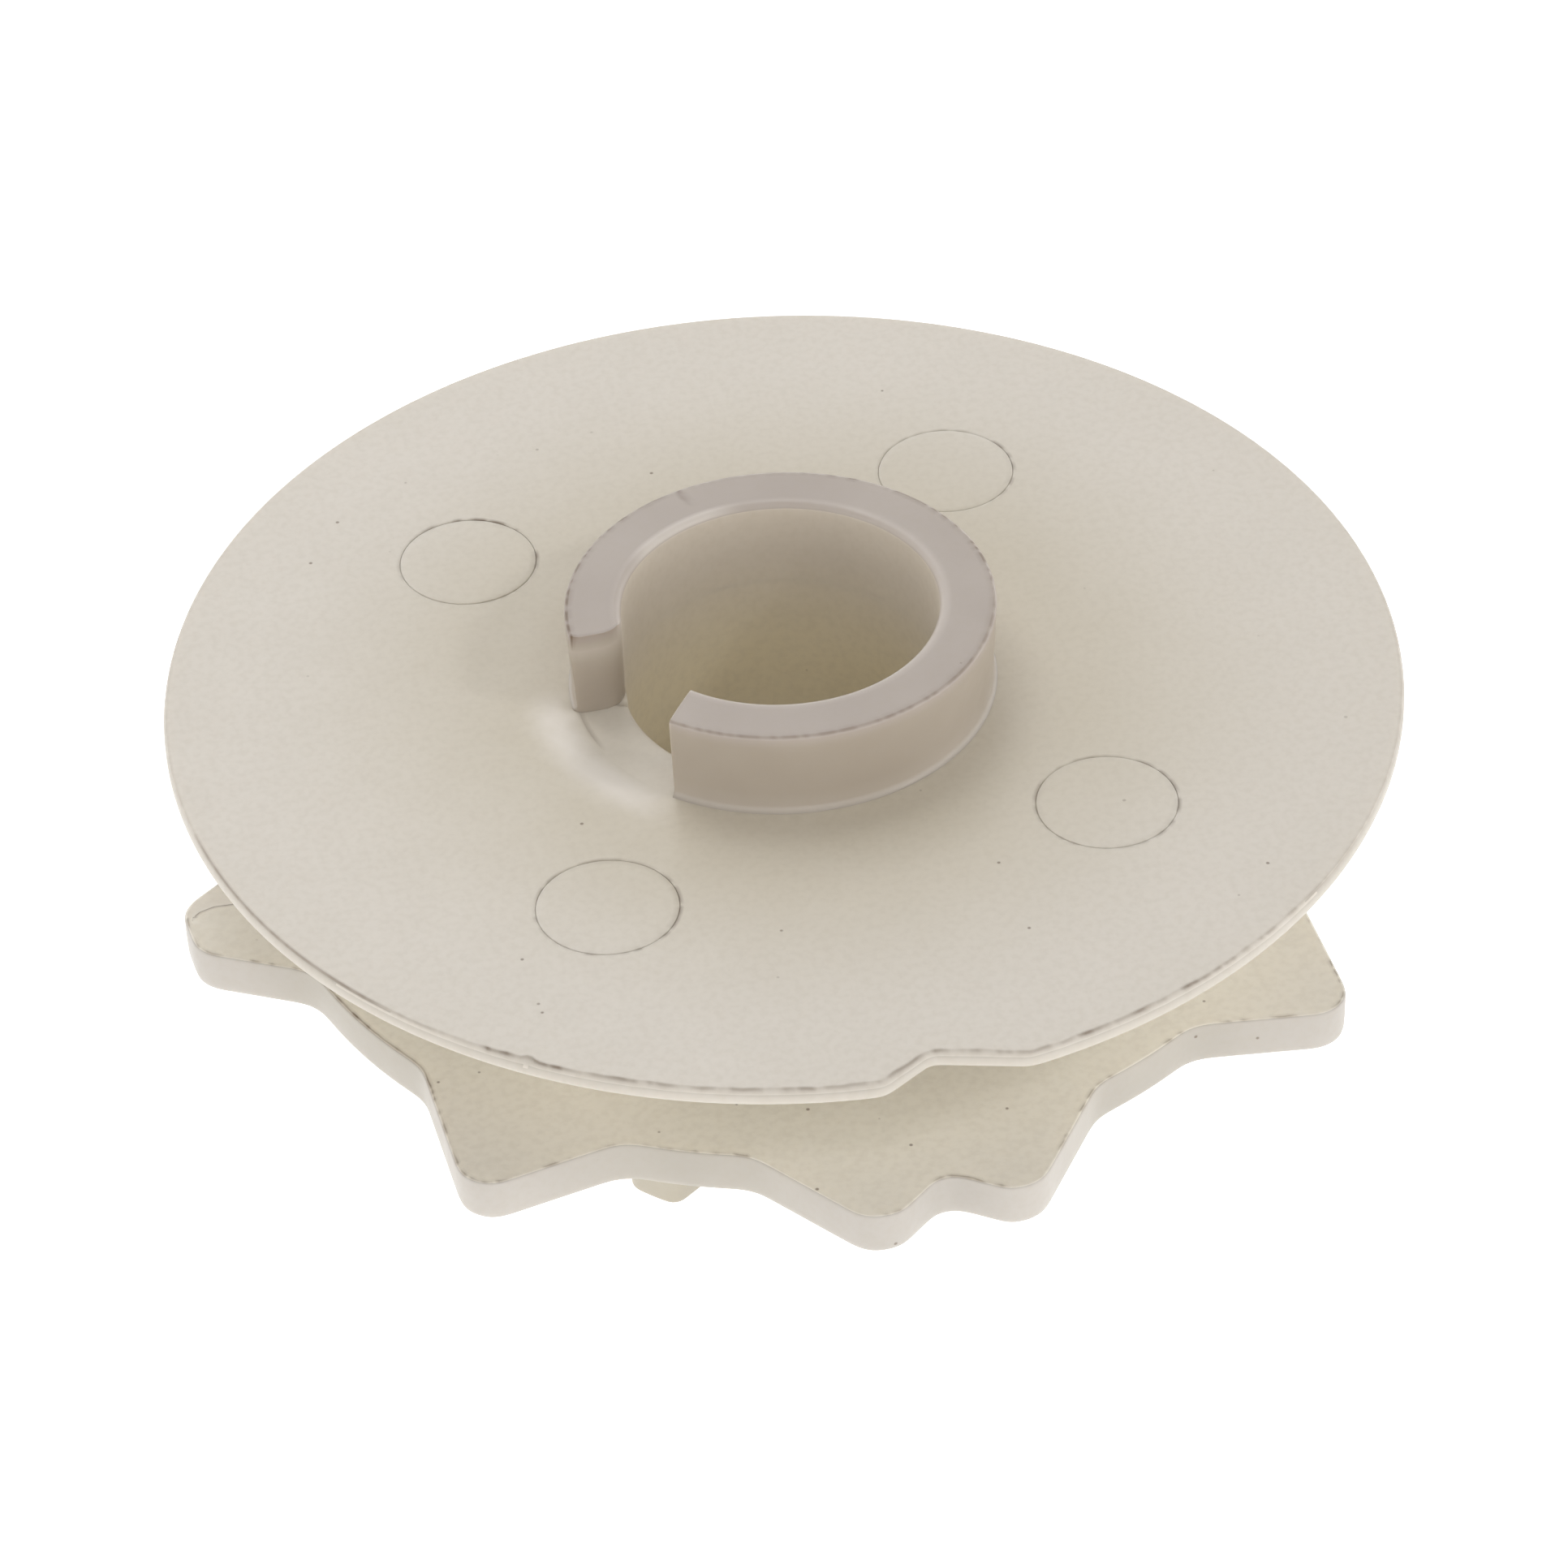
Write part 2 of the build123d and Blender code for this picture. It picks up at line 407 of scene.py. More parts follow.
def plastic(name, warm, cool, blend_by, roughness=0.42, empty_cells=0.93):
    """Natural nylon. It runs from the warm tint to the cool one as blend_by goes from 0 to 1. It is mottled
    and specked, darker where the mesh is soiled or carries painted shade, and lighter where it is pale, which
    in places is painted light. empty_cells is the share of the pattern's cells that hold no speck."""
    shader = Shader(name)
    tint = shader.blend(blend_by(shader), warm, cool)
    cloudy = shader.ramp(shader.noise(CLOUDS, 3), 0.35, 0.7, 0.0, 0.12)
    tint = shader.blend(cloudy, tint, PALE)
    fine = shader.ramp(shader.noise(FLECKS, 4), 0.35, 0.75, 0.0, 0.12)
    tint = shader.blend(fine, tint, DULL)
    cells = shader.add("ShaderNodeTexVoronoi", Vector=shader.place, Scale=SPECK_CELLS)
    dot = shader.ramp(cells.outputs["Distance"], 0.12, 0.05)
    chance = shader.add("ShaderNodeSeparateColor", Color=cells.outputs["Color"]).outputs["Red"]
    chosen = shader.ramp(chance, empty_cells, empty_cells + 0.06, 0.0, 0.7)
    tint = shader.blend(shader.times(dot, chosen), tint, SOIL_AND_SHADE)
    # Pale marks, some of them painted light, and darkening, partly soiling and partly painted shade.
    tint = shader.blend(shader.attribute("pale"), tint, PALE)
    tint = shader.blend(shader.attribute("grime_and_shade"), tint, SOIL_AND_SHADE)
    surface = shader.surface
    shader.set(surface, "Base Color", tint)
    gloss = shader.ramp(shader.noise(GLOSS_PATCHES, 3), 0.3, 0.7, 0.9 * roughness, 1.12 * roughness)
    shader.set(surface, "Roughness", gloss)
    surface.inputs["Subsurface Weight"].default_value = 0.25
    surface.inputs["Subsurface Radius"].default_value = (1.0, 0.95, 0.85)
    surface.inputs["Subsurface Scale"].default_value = 0.4 * MM
    surface.inputs["IOR"].default_value = 1.5
    grain = shader.add("ShaderNodeBump", Height=shader.noise(GRAIN, 3), Strength=0.25, Distance=0.012 * MM)
    ripple = shader.add("ShaderNodeBump", Height=shader.noise(RIPPLES, 2), Strength=0.35,
                        Distance=0.05 * MM, Normal=grain.outputs["Normal"])
    shader.set(surface, "Normal", ripple.outputs["Normal"])
    return shader.material


def by_radius(start, end):
    return lambda shader: shader.ramp(shader.distance_from_axis(), start, end)


def by_height(start, end):
    return lambda shader: shader.ramp(shader.height(), start, end)


# Painted light: the flange runs paler and pinker towards its rim, standing in for light that comes through
# the thin translucent disc.
flange_plastic = plastic("flange_plastic", srgb(203, 194, 176), srgb(213, 206, 195),
                         by_radius(8 * MM, 18 * MM))
# Painted shade: the flange's edge is a darker copy of its plastic, so that its brightly lit sides come out
# dim.
rim_plastic = plastic("rim_plastic", srgb(194, 187, 176), srgb(190, 183, 172),
                      by_height(flange_bottom, flange_top))
# Painted light: the star's top is lighter near the middle, under the flange, to make up for the flange's
# shadow there.
star_plastic = plastic("star_plastic", srgb(242, 238, 225), srgb(234, 229, 217),
                       by_radius(15 * MM, 20 * MM), empty_cells=0.8)
# Painted shade: the star's walls are a darker copy of its plastic, darkest at the inner radius in the valleys
# between the teeth.
star_wall_plastic = plastic("star_wall_plastic", srgb(168, 162, 150), srgb(184, 178, 170),
                            by_radius(15 * MM, 20 * MM), empty_cells=0.85)
# Painted shade: the collar's wall below the land is a little darker than the land.
collar_plastic = plastic("collar_plastic", srgb(165, 154, 140), srgb(171, 160, 151),
                         by_height(collar_top - 0.5 * MM, collar_top - 0.03 * MM),
                         roughness=0.34, empty_cells=0.9)
# Painted light: the bore turns paler and yellower downwards, standing in for light that glows through the
# translucent walls.
bore_plastic = plastic("bore_plastic", srgb(231, 220, 192), srgb(198, 188, 174),
                       by_height(flange_top - 3.5 * MM, flange_top + 1.5 * MM))
hub_plastic = plastic("hub_plastic", srgb(172, 165, 150), srgb(182, 175, 160),
                      by_height(bore_bottom, flange_top))


# ---- The collar's measures, and where its slot is ----
def arc_start(loop, radius):
    """The angle at which the stretch of a C-shaped outline that lies at this radius begins."""
    angles = sorted(angle_of(p) % 360 for p in loop if abs(p.length - radius) < 0.01 * MM)
    _, start = max((after - before, after) for before, after in zip(angles, angles[1:]))
    return start - 360


land = outlines("split_collar", collar_top)[0]
land_in = min(p.length for p in land)
land_out = max(p.length for p in land)
bore = min(p.length for p in outlines("spur_pinion", bore_bottom)[1])
wall_out = land_out + 0.1 * MM
mouth_chamfer = land_in - bore
start_in = arc_start(land, land_in)
start_out = arc_start(land, land_out)
blunt_end = max(angle_of(p) for p in land if p.y > 0 and p.x < 0)
sleeve_outer = min(p.length for p in outlines("spacer_hub", flange_bottom)[1]) - 0.02 * MM
slot_middle = (blunt_end + 360 + start_in) / 2


# ---- Flange plate ----
EDGE_SPACING = 0.16 * MM
# Directions in which the flange's rim is worn, nicked and soiled, in which a pool of light through the
# collar's slot is painted on its top, and in which its top is soiled.
FRONT = -98
NICK = -128.2
SOILED_BY_NICK = -129
SOILED_BY_NOTCH = -75
SOILED_LEFT = -158
SLOT_LIGHT = 198
FOOTPRINT = 186


def front(point):
    return smooth(turn_from(point, FRONT), 62, 22)


def broken(size, seed, low=-0.1, high=0.25):
    """Dashes along an edge: 1 on a dash and 0 between dashes."""
    return lambda point: smooth(wobble(point, size, seed), low, high)


def rim_inset(point):
    """How far the flange's top edge stands back from the CAD one, which already has a small chamfer."""
    ragged = 0.07 * wobble(point, 1.6 * MM, 3.1) + 0.05 * wobble(point, 0.5 * MM, 7.7)
    nick = 0.12 * smooth(turn_from(point, NICK), 0.9, 0.2)
    return (front(point) * (0.13 + ragged) + nick) * MM


def rim_grime(point):
    dashes = broken(1.1 * MM, 5.5)(point)
    fine = broken(0.3 * MM, 6.5, -0.25, 0.15)(point)
    by_nick = smooth(turn_from(point, SOILED_BY_NICK), 7, 3)
    by_notch = smooth(turn_from(point, SOILED_BY_NOTCH), 14, 5)
    left = smooth(turn_from(point, SOILED_LEFT), 18, 12)
    worn = front(point) * fine * (0.1 + 0.2 * dashes)
    return 0.15 + 0.1 * fine + worn + 0.3 * max(by_nick, by_notch) * dashes + 0.35 * left


def crescent(point):
    """The slightly raised patch outside the collar's slot, painted pale as a pool of light through the slot,
    from 0 to 1.
    """
    away = turn_from(point, SLOT_LIGHT)
    radius = point.length / MM
    return smooth(away, 32, 18) * smooth(radius, 6.7, 7.3) * smooth(radius, 8.6, 7.7)


def flange_relief(point):
    radius = point.length / MM
    warp = 0.03 * wobble(point, 9 * MM, 1.7) * smooth(radius, 19.5, 17) * smooth(radius, 7.2, 9)
    return flange_top + (0.07 * crescent(point) + warp) * MM


def make_flange():
    rim, *holes = outlines("flange_disc", flange_top)
    chamfer = 0.08 * MM
    outer_rows = [
        (lambda p: rim_inset(p) + 0.10 * MM, flange_top, 0.0),
        (lambda p: rim_inset(p) + 0.04 * MM, flange_top, lambda p: 0.35 * rim_grime(p)),
        (rim_inset, flange_top - 0.006 * MM, rim_grime),
        (lambda p: rim_inset(p) - 0.03 * MM, flange_top - 0.035 * MM, rim_grime),
        (lambda p: mix(rim_inset(p), -chamfer, 0.45), flange_top - 0.07 * MM, lambda p: 0.3 * rim_grime(p)),
        (lambda p: mix(rim_inset(p), -chamfer, 0.8), flange_top - 0.12 * MM, 0.0),
        (-chamfer, flange_top - 0.2 * MM, 0.0),
        (-chamfer, flange_bottom + 0.10 * MM, 0.0),
        (-0.7 * chamfer, flange_bottom + 0.03 * MM, 0.0),
        (0.3 * chamfer, flange_bottom, 0.0),
    ]
    pin_rows = [
        (0.12 * MM, flange_relief, 0.0),
        (0.06 * MM, flange_relief, lambda p: 0.5 * mark_grime(p)),
        (0.01 * MM, lambda p: flange_relief(p) - 0.005 * MM, mark_grime),
        (-0.014 * MM, lambda p: flange_relief(p) - 0.02 * MM, mark_grime),
        # The hole's wall darkens down into the crack round the pin: painted shade.
        (-0.014 * MM, flange_bottom, 0.4),
    ]
    # The plate fills the slot up to the bore, where its edge is rounded.
    centre_rows = [
        (0.12 * MM, flange_relief, 0.0),
        (0.05 * MM, flange_relief, lambda p: 0.3 * footprint(p)),
        (0.01 * MM, flange_relief, footprint),
        *[(lambda p, share=share: -share * slot_reach(p), flange_relief, 0.0)
          for share in (0.1, 0.4, 0.7, 0.86)],
        (lambda p: -0.93 * slot_reach(p), lambda p: flange_relief(p) - 0.02 * slot_share(p) * MM, 0.0),
        (lambda p: -0.98 * slot_reach(p), lambda p: flange_relief(p) - 0.07 * slot_share(p) * MM, 0.0),
        (lambda p: -slot_reach(p), lambda p: flange_relief(p) - 0.16 * slot_share(p) * MM, 0.0),
        (lambda p: -slot_reach(p), flange_bottom, 0.0),
    ]
    centre, *pins = [circle_through(hole, 0.14 * MM)[1] for hole in holes]
    edges = [(centre, centre_rows), *[(pin, pin_rows) for pin in pins]]
    shell = plate(evenly(rim, EDGE_SPACING), outer_rows, edges, flange_relief,
                  pale=flange_pale, grime_and_shade=collar_shade)
    flange = shell.finish("flange_plate", "flange_disc", "flange", flange_plastic)
    second_material(flange, rim_plastic, lambda face: abs(face.normal.z) < 0.6)


def node_centre(node):
    low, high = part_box(node)
    return ((low + high) / 2).xy


# The line round each flush pin: the direction of its darkest side, and how dark it is there and opposite.
MARK_LINES = {
    "joining_pin_1": (-60, 0.60, 0.35),
    "joining_pin_2": (-20, 0.50, 0.35),
    "joining_pin_3": (10, 0.50, 0.12),
    "joining_pin_4": (25, 0.70, 0.22),
}
PIN_CENTRES = {pin: node_centre(pin) for pin in MARK_LINES}


def slot_share(point):
    """1 across the collar's slot and 0 well under the collar, with an even change between them."""
    return smooth(turn_from(point, slot_middle), 26, 21)


def flange_pale(point):
    """The patch beside the slot, a painted pool of light through it, and the slot's floor are paler than the
    rest of the flange.
    """
    floor = slot_share(point) * smooth(point.length / MM, 7.6, 6.7)
    return 0.7 * crescent(point) + 0.3 * floor * (1 - crescent(point))


def collar_shade(point):
    """Painted shade: the flange is a little darker round the collar's foot, away from the slot."""
    return 0.07 * (1 - slot_share(point)) * smooth(point.length / MM, 9.0, 7.1)


def slot_reach(point):
    """How far the flange plate reaches in from its hole towards the bore."""
    return slot_share(point) * (sleeve_outer - bore)


def footprint(point):
    """Soiling where the missing stretch of the collar's outer wall would stand."""
    return 0.4 * smooth(turn_from(point, FOOTPRINT), 12, 4)


def mark_grime(point):
    """Soiling of the line round the pin nearest to a point."""
    pin = min(PIN_CENTRES, key=lambda name: (PIN_CENTRES[name] - point).length)
    direction, darkest, faintest = MARK_LINES[pin]
    share = smooth(turn_from(point - PIN_CENTRES[pin], direction), 130, 20)
    stretches = broken(1.3 * MM, 9.2, -0.3, 0.1)(point)
    dashes = broken(0.35 * MM, 2.2, -0.25, 0.25)(point) * (0.4 + 0.6 * stretches)
    return mix(faintest, darkest, share) * (0.1 + dashes)


# ---- Star plate ----
# A soiled crease runs along the tooth at -X, and the strip behind it lies a little lower.
CREASE = [Vector(p) * MM for p in ((-17.6, 0.2), (-18.4, 0.26), (-19.1, 0.33), (-19.6, 0.2), (-20.1, -0.2))]
VALLEY = -156  # the direction of the valley between the two left teeth


def crease_points(spacing):
    """Rows of points along the crease, on it and close on both sides."""
    points = []
    for start, end in zip(CREASE, CREASE[1:]):
        aside = (end - start).orthogonal().normalized()
        steps = round((end - start).length / spacing)
        for i in range(steps):
            here = start.lerp(end, i / steps)
            points += [here + aside * offset * MM for offset in (-0.12, -0.05, 0.0, 0.05, 0.12)]
    return points


def from_crease(point):
    """How far a point lies from the crease: positive behind it and negative in front."""
    nearest = None
    for start, end in zip(CREASE, CREASE[1:]):
        along = end - start
        share = clamp((point - start).dot(along) / along.length_squared)
        away = point - start.lerp(end, share)
        if nearest is None or away.length < abs(nearest):
            nearest = math.copysign(away.length, -along.cross(away))
    return nearest


def crease_grime(point):
    return 0.85 * smooth(abs(from_crease(point)) / MM, 0.07, 0.01) * smooth(-point.x / MM, 17.4, 18.2)


def far_strip(point):
    """1 on the strip behind the crease, 0 elsewhere."""
    return smooth(-point.x / MM, 17.0, 18.0) * smooth(from_crease(point) / MM, 0.0, 0.08)


def star_relief(point):
    waves = 0.025 * wobble(point, 5 * MM, 4.2) * smooth(point.length / MM, 12, 15)
    return star_top + (waves - 0.04 * far_strip(point)) * MM


def star_line(point):
    """Darkening of the star's top edge: a broken line of soiling, and painted shade in the valley between the
    two left teeth, under the flange, where it is darkest.
    """
    valley = smooth(turn_from(point, VALLEY), 16, 6)
    dashes = broken(0.9 * MM, 8.8, -0.15, 0.2)(point) * broken(0.25 * MM, 3.9, -0.3, 0.1)(point)
    return (0.10 + 0.55 * dashes) * (1 - valley) + valley * (0.6 + 0.4 * dashes)


def flash(point):
    """How far the ragged top edge of the star stands in or out, in millimetres."""
    return 0.04 * wobble(point, 0.4 * MM, 1.1)


def make_star():
    rim, *holes = outlines("star_wheel", star_top)
    outer_rows = [
        (0.22 * MM, star_relief, 0.0),
        (lambda p: (0.13 + flash(p)) * MM, star_relief, lambda p: 0.3 * star_line(p)),
        (lambda p: (0.085 + flash(p)) * MM, star_relief, star_line),
        (0.035 * MM, lambda p: star_relief(p) - 0.015 * MM, lambda p: 0.5 * star_line(p)),
        (0.005 * MM, lambda p: star_relief(p) - 0.06 * MM, 0.0),
        (-0.005 * MM, lambda p: star_relief(p) - 0.13 * MM, 0.0),
        (0.0, (star_top + star_bottom) / 2, 0.0),
        (0.02 * MM, star_bottom + 0.30 * MM, 0.0),
        (0.06 * MM, star_bottom + 0.14 * MM, 0.0),
        (0.15 * MM, star_bottom + 0.04 * MM, 0.0),
        (0.30 * MM, star_bottom, 0.0),
    ]
    hole_rows = [(0.03 * MM, star_relief, 0.0), (0.0, star_relief(Vector((0, 0))) - 0.03 * MM, 0.0),
                 (0.0, star_bottom + 0.03 * MM, 0.0), (0.03 * MM, star_bottom, 0.0)]
    circles = [(circle_through(hole, 0.3 * MM)[1], hole_rows) for hole in holes]
    shell = plate(evenly(rim, EDGE_SPACING), outer_rows, circles, star_relief,
                  pale=lambda p: 0.35 * far_strip(p), grime_and_shade=crease_grime, extra=crease_points(0.1 * MM))
    star = shell.finish("star_plate", "star_wheel", "star", star_plastic)
    second_material(star, star_wall_plastic, lambda face: abs(face.normal.z) < 0.75)


# ---- Split collar: the sleeve through the stack, and the slotted ring on the flange ----
INNER_ROUNDING = 0.8 * MM
OUTER_ROUNDING = 0.4 * MM
END_LEAD = 0.6  # degrees by which the blunt end's face stands past its outline on the land
MOUTH_HIGHLIGHT = 115  # where the painted highlight on the collar's mouth is brightest
SCRATCH = 104  # where a short scratch crosses its land


def plane_end(radius):
    """The angle of the collar's plane end at this radius."""
    return mix(start_in, start_out, (radius - land_in) / (land_out - land_in))


def round_end(radius):
    """The angle of the collar's round-cornered end at this radius."""
    outer = clamp((radius - (wall_out - OUTER_ROUNDING)) / OUTER_ROUNDING)
    inner = clamp(((bore + INNER_ROUNDING) - radius) / INNER_ROUNDING)
    back = OUTER_ROUNDING * (1 - math.sqrt(1 - outer * outer))
    back += INNER_ROUNDING * (1 - math.sqrt(1 - inner * inner))
    return blunt_end + END_LEAD - math.degrees(back / radius)


def collar_grime(angle):
    """Soiling of the outer edge of the collar's land."""
    point = on_circle(wall_out, angle)
    dashes = broken(0.22 * MM, 6.1, -0.15, 0.2)(point)
    left = smooth(turn_from(point, 150), 55, 30)
    right = smooth(turn_from(point, 30), 45, 25)
    return 0.12 + 0.25 * dashes + left * (0.25 + 0.3 * dashes) + right * (0.1 + 0.4 * dashes)


def clean(angle):
    """No soiling at any angle."""
    return 0.0


def collar_profile(wall_steps):
    """The ring's section, up the bore, over the land and down the outside: radius, height and soiling."""
    foot = 0.26 * MM
    sunk = 0.03 * MM  # the foot runs a little into the flange, so that it leaves no ledge
    draft = 0.15 * MM
    base = wall_out - draft
    mouth_steps = 5
    foot_steps = wall_steps // 2
    profile = []
    for i in range(wall_steps + 1):
        profile.append((bore, mix(flange_top, collar_top - mouth_chamfer, i / wall_steps), clean))
    for i in range(1, mouth_steps + 1):
        turn = 0.5 * math.pi * i / mouth_steps
        height = collar_top - mouth_chamfer * (1 - math.sin(turn))
        profile.append((land_in - mouth_chamfer * math.cos(turn), height, clean))
    for share in (0.12, 0.3, 0.5, 0.7, 0.86):
        profile.append((mix(land_in, land_out, share), collar_top, clean))
    profile += [
        (land_out - 0.045 * MM, collar_top, lambda angle: 0.3 * collar_grime(angle)),
        (land_out, collar_top - 0.008 * MM, collar_grime),
        (land_out + 0.055 * MM, collar_top - 0.03 * MM, collar_grime),
        (land_out + 0.09 * MM, collar_top - 0.07 * MM, lambda angle: 0.25 * collar_grime(angle)),
    ]
    for i in range(foot_steps):
        share = i / foot_steps
        height = mix(collar_top - 0.11 * MM, flange_top - sunk + foot, share)
        profile.append((mix(wall_out, base, share), height, clean))
    for i in range(foot_steps + 1):
        turn = 0.5 * math.pi * i / foot_steps
        height = flange_top - sunk + foot * (1 - math.sin(turn))
        profile.append((base + foot * (1 - math.cos(turn)), height, clean))
    return profile


def make_collar_ring():
    stations = 220
    wall_steps = 10
    shell = Shell()
    rows = []
    for radius, height, grime_and_shade in collar_profile(wall_steps):
        row = []
        for j in range(stations + 1):
            share = j / stations
            angle = mix(plane_end(radius), round_end(radius), share)
            darkening = grime_and_shade(angle) + land_marks(radius, height, angle, share)
            pale = collar_pale(radius, height, angle)
            row.append(shell.point((*on_circle(radius, angle), height), darkening, pale))
        rows.append(row)
    shell.sheet(rows)
    shell.strip(rows[-1], rows[0], closed=False)
    close_end(shell, [row[0] for row in rows], wall_steps, plane_end)
    close_end(shell, [row[-1] for row in rows], wall_steps, round_end)
    collar = shell.finish("collar_ring", "split_collar", "collar", collar_plastic)
    inside = bore + 0.03 * MM
    second_material(collar, bore_plastic,
                    lambda face: face.center.xy.length < inside and abs(face.normal.z) < 0.3)


def collar_pale(radius, height, angle):
    """The collar's foot turns towards the flange's tint, and the rounding of its mouth is painted pale as a
    highlight.
    """
    if radius > land_in:
        return 0.12 * smooth(height, flange_top + 0.5 * MM, flange_top)
    if height < collar_top - mouth_chamfer:
        return 0.0
    highlight = 0.12 + 0.4 * smooth(abs(angle - MOUTH_HIGHLIGHT), 28, 12)
    return highlight * smooth(radius, land_in + 0.3 * MM, land_in) * smooth(radius, bore, bore + 0.06 * MM)


def land_marks(radius, height, angle, share):
    """Darkening of the land: a line of painted shade along both its ends, where the edge would round over
    (share is 0 at the plane one), and a short scratch of soiling.
    """
    if height < collar_top - 0.01 * MM:
        return 0.0
    if share in (0, 1):
        return 0.12 + 0.2 * share
    return 0.35 * smooth(abs(angle - SCRATCH), 1.5, 0.2) * smooth(radius / MM, 6.0, 6.2)


def end_face_point(shell, radius, height, angle):
    """A point on an end of the collar, painted paler above and darker below as light and shade."""
    lift = (height - flange_top) / MM
    grime_and_shade = 0.14 * smooth(lift, 2.2, 1.0)
    return shell.point((*on_circle(radius, angle), height), grime_and_shade, 0.2 * smooth(lift, 1.9, 2.5))


def close_end(shell, border, wall_steps, end_angle):
    """Fills one end of the collar, column by column, from the land down to the flange."""
    inner = border[:wall_steps + 1][::-1]
    outer = border[-wall_steps - 1:]
    top = border[wall_steps + 1:-wall_steps - 1]
    columns = [inner]
    for k, crest in enumerate(top):
        share = (k + 1) / (len(top) + 1)
        column = [crest]
        for m in range(1, wall_steps + 1):
            radius = crest.co.xy.length + (outer[m].co.xy.length - outer[0].co.xy.length) * share ** 2
            height = mix(inner[m].co.z, outer[m].co.z, share)
            column.append(end_face_point(shell, radius, height, end_angle(radius)))
        columns.append(column)
    columns.append(outer)
    shell.sheet(columns)


def make_sleeve():
    """The sleeve is flush with the flange, but across the slot it ends under the plate."""
    seat = min(p.length for p in outlines("spur_pinion", star_top)[1]) - 0.02 * MM

    def section(angle):
        top = mix(flange_top, flange_bottom, slot_share(on_circle(1, angle)))
        return [
            (bore, sleeve_bottom), (bore, star_top), (bore, flange_bottom - 0.5 * MM), (bore, top),
            (sleeve_outer, top), (sleeve_outer, star_top), (seat, star_top), (seat, sleeve_bottom),
        ]

    return lathe(section, 360).finish("collar_sleeve", "split_collar", "collar", bore_plastic)


# ---- Pinion, spacer and pins ----
def make_pinion():
    rim, hole = outlines("spur_pinion", bore_bottom)
    top = star_bottom
    outer_rows = [
        (0.05 * MM, top, 0.0), (0.0, top - 0.05 * MM, 0.0), (0.0, bore_bottom + 0.12 * MM, 0.0),
        (0.035 * MM, bore_bottom + 0.035 * MM, 0.15), (0.12 * MM, bore_bottom, 0.0),
    ]
    hole_rows = [(0.05 * MM, top, 0.0), (0.0, top - 0.05 * MM, 0.0), (0.0, bore_bottom + 0.25 * MM, 0.0),
                 (0.05 * MM, bore_bottom + 0.1 * MM, 0.0), (0.25 * MM, bore_bottom, 0.0)]
    shell = plate(evenly(rim, 0.14 * MM, 1), outer_rows, [(circle_through(hole, 0.2 * MM)[1], hole_rows)],
                  lambda p: top, spacing=1.0 * MM)
    return shell.finish("pinion_teeth", "spur_pinion", "pinion", hub_plastic)


def make_spigot():
    outside, inside = (p[0].length for p in outlines("spur_pinion", star_top))
    corners = [(inside, star_bottom), (outside, star_bottom), (outside, star_top), (inside, star_top)]
    shell = lathe(lambda angle: rounded(corners, 0.05 * MM), 160)
    return shell.finish("pinion_spigot", "spur_pinion", "pinion", hub_plastic)


def make_spacer():
    outside, inside = (p[0].length for p in outlines("spacer_hub", star_top))
    corners = [(inside, star_top), (outside, star_top), (outside, flange_bottom), (inside, flange_bottom)]
    shell = lathe(lambda angle: rounded(corners, 0.08 * MM), 200)
    return shell.finish("spacer_ring", "spacer_hub", "hub", hub_plastic)


def make_pin(node):
    """A plain pin whose top lies flush with the flange, a little dished as moulded ends are."""
    centre = PIN_CENTRES[node]
    radius = (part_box(node)[1].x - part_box(node)[0].x) / 2
    steps = 96
    top = flange_relief(centre)
    dish = 0.012 * MM
    rings = [(0.25, top - dish, 0.0), (0.6, top - 0.7 * dish, 0.0), (0.9, top - 0.1 * dish, 0.0),
             (1 - 0.04 * MM / radius, top, 0.2), (1 - 0.01 * MM / radius, top - 0.012 * MM, 0.8),
             (1.0, top - 0.04 * MM, 0.8), (1.0, top - 0.10 * MM, 0.0), (1.0, star_bottom + 0.05 * MM, 0.0),
             (1 - 0.05 * MM / radius, star_bottom, 0.0)]
    shell = Shell()
    rows = []
    for share, height, darkening in rings:
        ring = [centre + on_circle(radius * share, 360 * i / steps) for i in range(steps)]
        rows.append([shell.point((*p, height), darkening * mark_grime(p)) for p in ring])
    shell.sheet(rows, closed=True)
    for ring in (rows[0], rows[-1]):
        shell.mesh.faces.new(ring)
    return shell.finish(node.replace("joining_", "flush_"), node, "pins", flange_plastic)


make_flange()
make_star()
make_collar_ring()
make_sleeve()
make_pinion()
make_spigot()
make_spacer()
for pin_node in MARK_LINES:
    make_pin(pin_node)

# ---- Studio: a bright table, a white surround and three soft boxes ----
CENTRE = Vector((0, 0, flange_top))
HORIZON = 2.4
ZENITH = 0.1


def make_table():
    table = bpy.data.objects.new("table", bpy.data.meshes.new("table"))
    shape = bmesh.new()
    bmesh.ops.create_grid(shape, x_segments=8, y_segments=8, size=1.5)
    shape.to_mesh(table.data)
    shape.free()
    table.location.z = cad_box[0][2]
    bpy.context.scene.collection.objects.link(table)
    material = bpy.data.materials.new("table_white")
    material.use_nodes = True
    surface = material.node_tree.nodes["Principled BSDF"]
    surface.inputs["Base Color"].default_value = (0.5, 0.5, 0.5, 1)
    surface.inputs["Roughness"].default_value = 0.9
    surface.inputs["Specular IOR Level"].default_value = 0.1
    surface.inputs["Emission Color"].default_value = (1, 1, 1, 1)
    surface.inputs["Emission Strength"].default_value = 0.9
    table.data.materials.append(material)


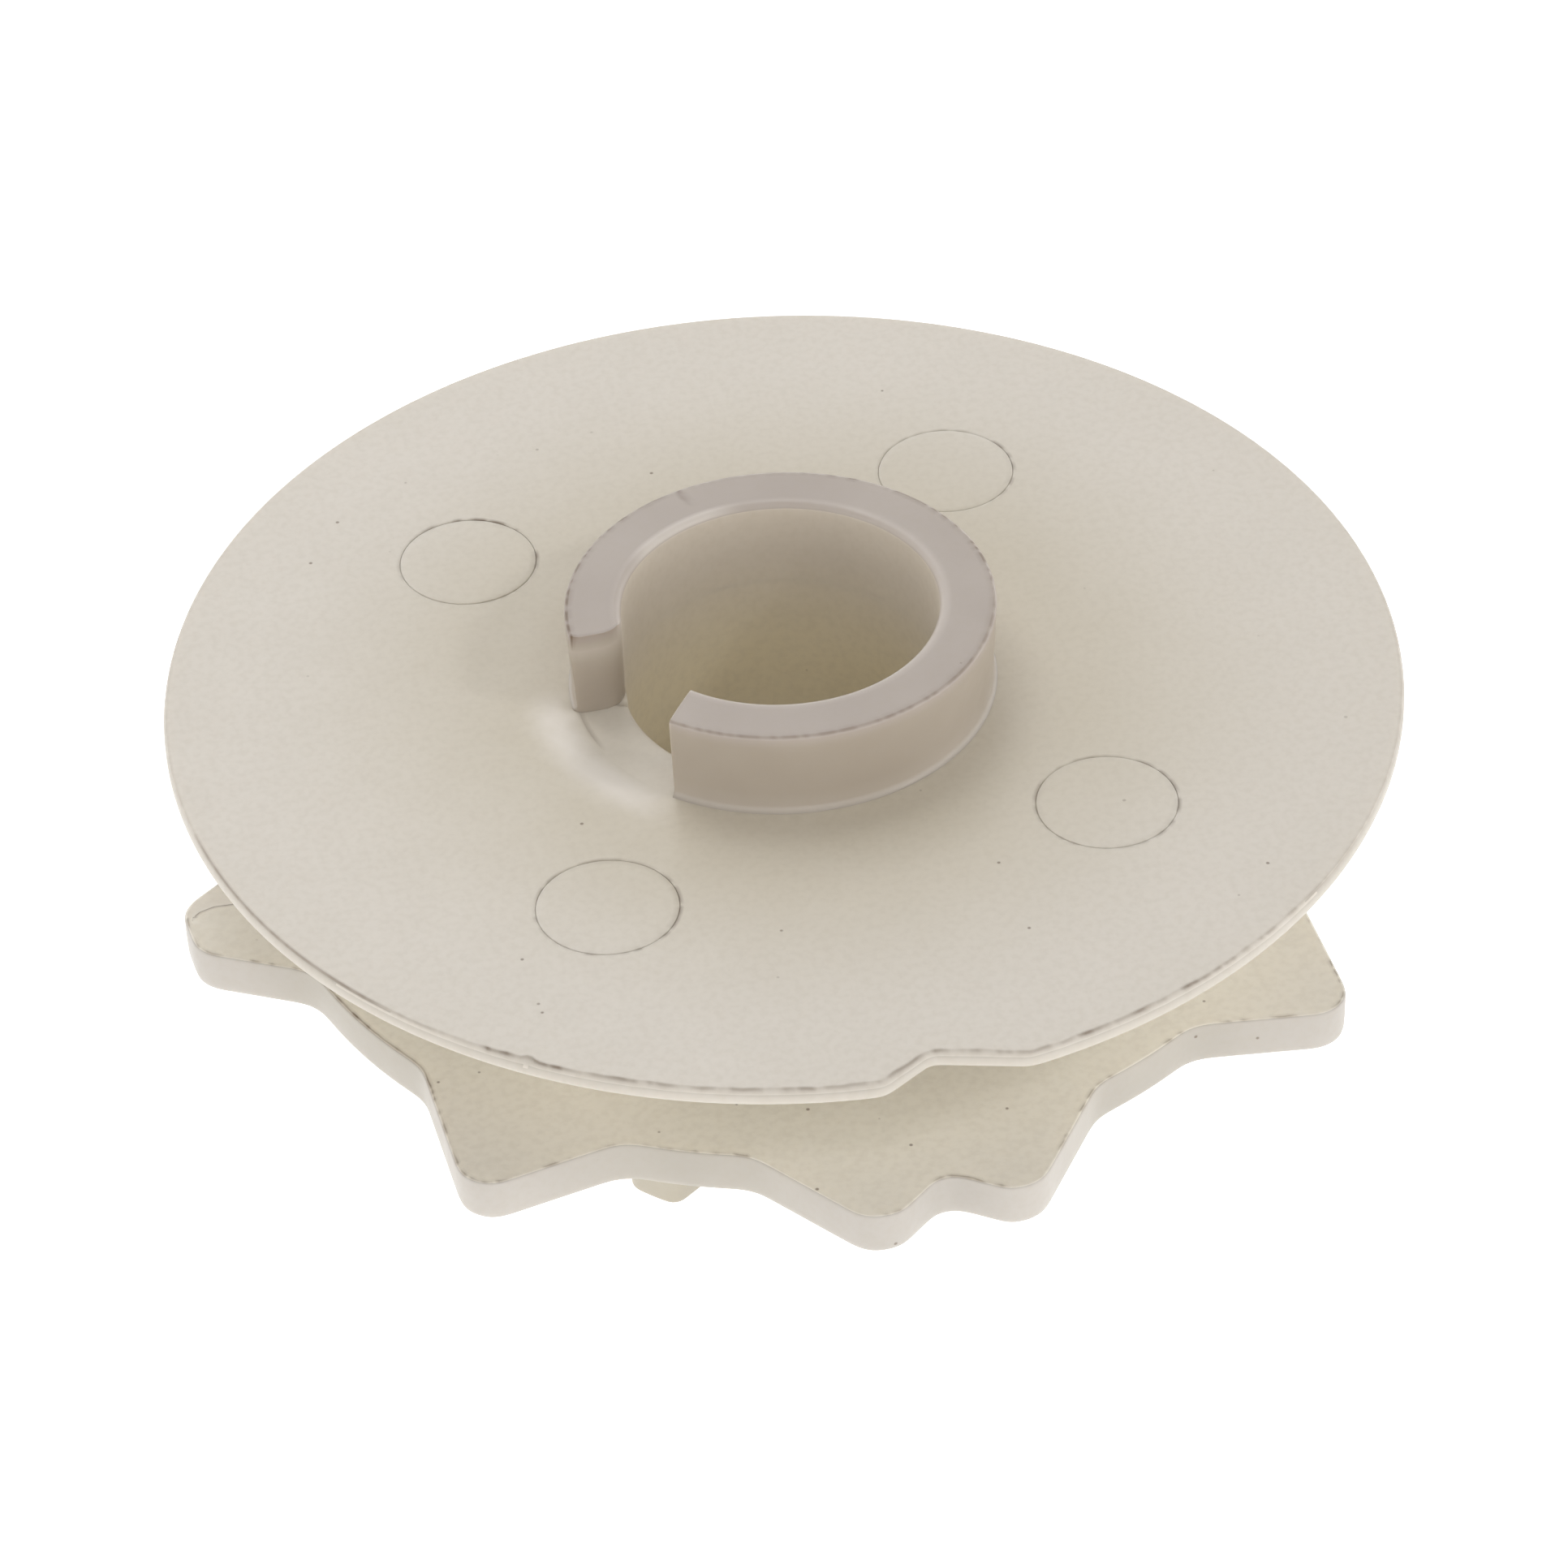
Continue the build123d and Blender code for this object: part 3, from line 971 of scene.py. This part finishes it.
def make_surround():
    """White all round, brightest at the horizon, so that light reaches in under the flange."""
    world = bpy.data.worlds.new("surround")
    world.use_nodes = True
    tree = world.node_tree
    direction = tree.nodes.new("ShaderNodeSeparateXYZ")
    tree.links.new(tree.nodes.new("ShaderNodeTexCoord").outputs["Generated"], direction.inputs["Vector"])
    fall = tree.nodes.new("ShaderNodeMapRange")
    for socket, number in (("From Min", 0.0), ("From Max", 0.8), ("To Min", HORIZON), ("To Max", ZENITH)):
        fall.inputs[socket].default_value = number
    tree.links.new(direction.outputs["Z"], fall.inputs["Value"])
    backdrop = tree.nodes["Background"]
    backdrop.inputs["Color"].default_value = (1, 1, 1, 1)
    tree.links.new(fall.outputs["Result"], backdrop.inputs["Strength"])
    bpy.context.scene.world = world


def make_soft_box(name, direction, height, distance, size, power):
    """A square light that faces the gear from this direction and height above the horizon."""
    light = bpy.data.lights.new(name, "AREA")
    light.shape = "SQUARE"
    light.size = size
    light.energy = power
    lamp = bpy.data.objects.new(name, light)
    flat = on_circle(math.cos(math.radians(height)), direction)
    toward = Vector((flat.x, flat.y, math.sin(math.radians(height))))
    lamp.location = CENTRE + toward * distance
    lamp.rotation_euler = toward.to_track_quat("Z", "Y").to_euler()
    bpy.context.scene.collection.objects.link(lamp)


def make_camera():
    """The camera stands to the left of the index tooth, looks down at the flange and leans a little."""
    azimuth, elevation, lean = (math.radians(a) for a in (-14, 38.717, -2.07))
    distance = 223.36 * MM
    focal_pixels = 8524.4
    image_side = 1932
    centre_right, centre_up = -1.3, 132.1  # where the flange's centre lies in the picture, from its middle
    back = Vector((math.sin(azimuth) * math.cos(elevation), -math.cos(azimuth) * math.cos(elevation),
                   math.sin(elevation)))
    right = Vector((0, 0, 1)).cross(back).normalized()
    up = back.cross(right)
    looking = Matrix((right, up, back)).transposed().to_quaternion()
    leaning = Matrix.Rotation(lean, 3, "Z").to_quaternion()
    seen = Vector((centre_right, centre_up, -focal_pixels)).normalized()
    camera = bpy.data.objects.new("camera", bpy.data.cameras.new("camera"))
    camera.data.sensor_width = 36
    camera.data.lens = 36 * focal_pixels / image_side
    camera.data.clip_start = 0.01
    camera.location = CENTRE + back * distance
    camera.rotation_mode = "QUATERNION"
    camera.rotation_quaternion = looking @ leaning @ seen.rotation_difference(Vector((0, 0, -1)))
    bpy.context.scene.collection.objects.link(camera)
    bpy.context.scene.camera = camera


make_table()
make_surround()
make_soft_box("soft_box_back", 100, 55, 0.45, 0.30, 0.65)
make_soft_box("soft_box_front", -75, 60, 0.50, 0.40, 0.25)
make_soft_box("soft_box_right", -35, 40, 0.50, 0.06, 0.25)
make_camera()
bpy.context.scene.view_settings.view_transform = "Standard"
